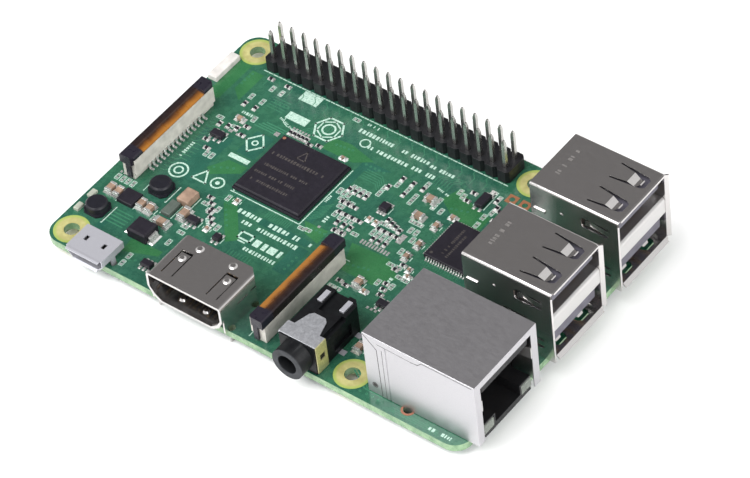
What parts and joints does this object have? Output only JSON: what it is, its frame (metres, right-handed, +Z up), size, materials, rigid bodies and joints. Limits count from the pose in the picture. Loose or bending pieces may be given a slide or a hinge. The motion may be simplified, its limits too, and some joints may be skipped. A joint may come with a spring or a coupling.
{
  "type": "single board computer",
  "caption": "Card-sized computer board with pin header, stacked USB-A ports, network, video, audio and power sockets, and latching ribbon connectors on a green circuit board.",
  "frame": {"origin": "centre of the four mounting holes, on the underside of the board", "axes": "+X towards the USB and network sockets, +Y towards the pin header, +Z up from the component side of the board"},
  "size_m": [0.0876, 0.0585, 0.0186],
  "materials": {
    "board": "green solder mask over woven laminate, satin gloss",
    "bare_pad": "bare plated copper ring",
    "black_plastic": "moulded, fine grain",
    "pin_metal": "bright plated",
    "shell_metal": "bright plated sheet metal",
    "bright_metal": "bright tin plate",
    "tongue_grey": "moulded",
    "contact_gold": "gold flashed",
    "light_pipe": "clear moulded",
    "inner_black": "potted block",
    "ivory_plastic": "moulded",
    "latch_brown": "translucent dark brown",
    "tinned_lead": "soldered tin plate",
    "chip_black": "moulded package",
    "white_ceramic": "fired ceramic",
    "inductor_grey": "moulded ferrite",
    "fuse_green": "coated",
    "tan_ceramic": "fired ceramic",
    "clear_lens": "clear resin over white base",
    "copper_pad": "bare copper"
  },
  "bodies": {
    "board": {"circuit_board": "board", "mounting_pads": "bare_pad", "header_housing": "black_plastic", "header_pins": "pin_metal", "usb_pair_1_shell": "shell_metal", "usb_pair_1_divider": "bright_metal", "usb_pair_1_insulator": "tongue_grey", "usb_pair_1_contacts": "contact_gold", "usb_pair_2_shell": "shell_metal", "usb_pair_2_divider": "bright_metal", "usb_pair_2_insulator": "tongue_grey", "usb_pair_2_contacts": "contact_gold", "ethernet_shell": "shell_metal", "ethernet_ground_springs": "bright_metal", "ethernet_insulator": "black_plastic", "ethernet_contacts": "contact_gold", "ethernet_left_light_pipe": "light_pipe", "ethernet_right_light_pipe": "light_pipe", "ethernet_magnetics": "inner_black", "hdmi_shell": "shell_metal", "hdmi_insulator": "black_plastic", "hdmi_contacts": "contact_gold", "micro_usb_shell": "shell_metal", "micro_usb_insulator": "black_plastic", "micro_usb_contacts": "contact_gold", "audio_jack_body": "black_plastic", "audio_jack_clip": "bright_metal", "audio_jack_contacts": "bright_metal", "display_connector_housing": "ivory_plastic", "display_connector_contacts": "tinned_lead", "camera_connector_housing": "ivory_plastic", "camera_connector_contacts": "tinned_lead", "processor": "chip_black", "usb_network_controller": "chip_black", "memory_chip": "chip_black", "wireless_chip": "chip_black", "chip_antenna": "white_ceramic", "power_inductors": "inductor_grey", "power_diode": "chip_black", "power_diode_leads": "tinned_lead", "power_regulator": "chip_black", "power_fuse": "fuse_green", "bulk_capacitor": "tan_ceramic", "status_lights": "clear_lens", "ceramic_capacitors": "tan_ceramic", "capacitor_terminals": "tinned_lead", "chip_resistors": "chip_black", "resistor_terminals": "tinned_lead", "small_transistors": "chip_black", "transistor_leads": "tinned_lead", "empty_header_pads": "copper_pad", "card_slot_base": "black_plastic", "card_slot_cover": "shell_metal", "card_slot_contacts": "contact_gold"},
    "display_latch": {"display_connector_latch": "latch_brown"},
    "camera_latch": {"camera_connector_latch": "latch_brown"}
  },
  "joints": [
    {"name": "display_latch_slide", "type": "slide", "parent": "board", "child": "display_latch", "axis": [0, 0, 1], "range_m": [0, 0.0012]},
    {"name": "camera_latch_slide", "type": "slide", "parent": "board", "child": "camera_latch", "axis": [0, 0, 1], "range_m": [0, 0.0012]}
  ]
}
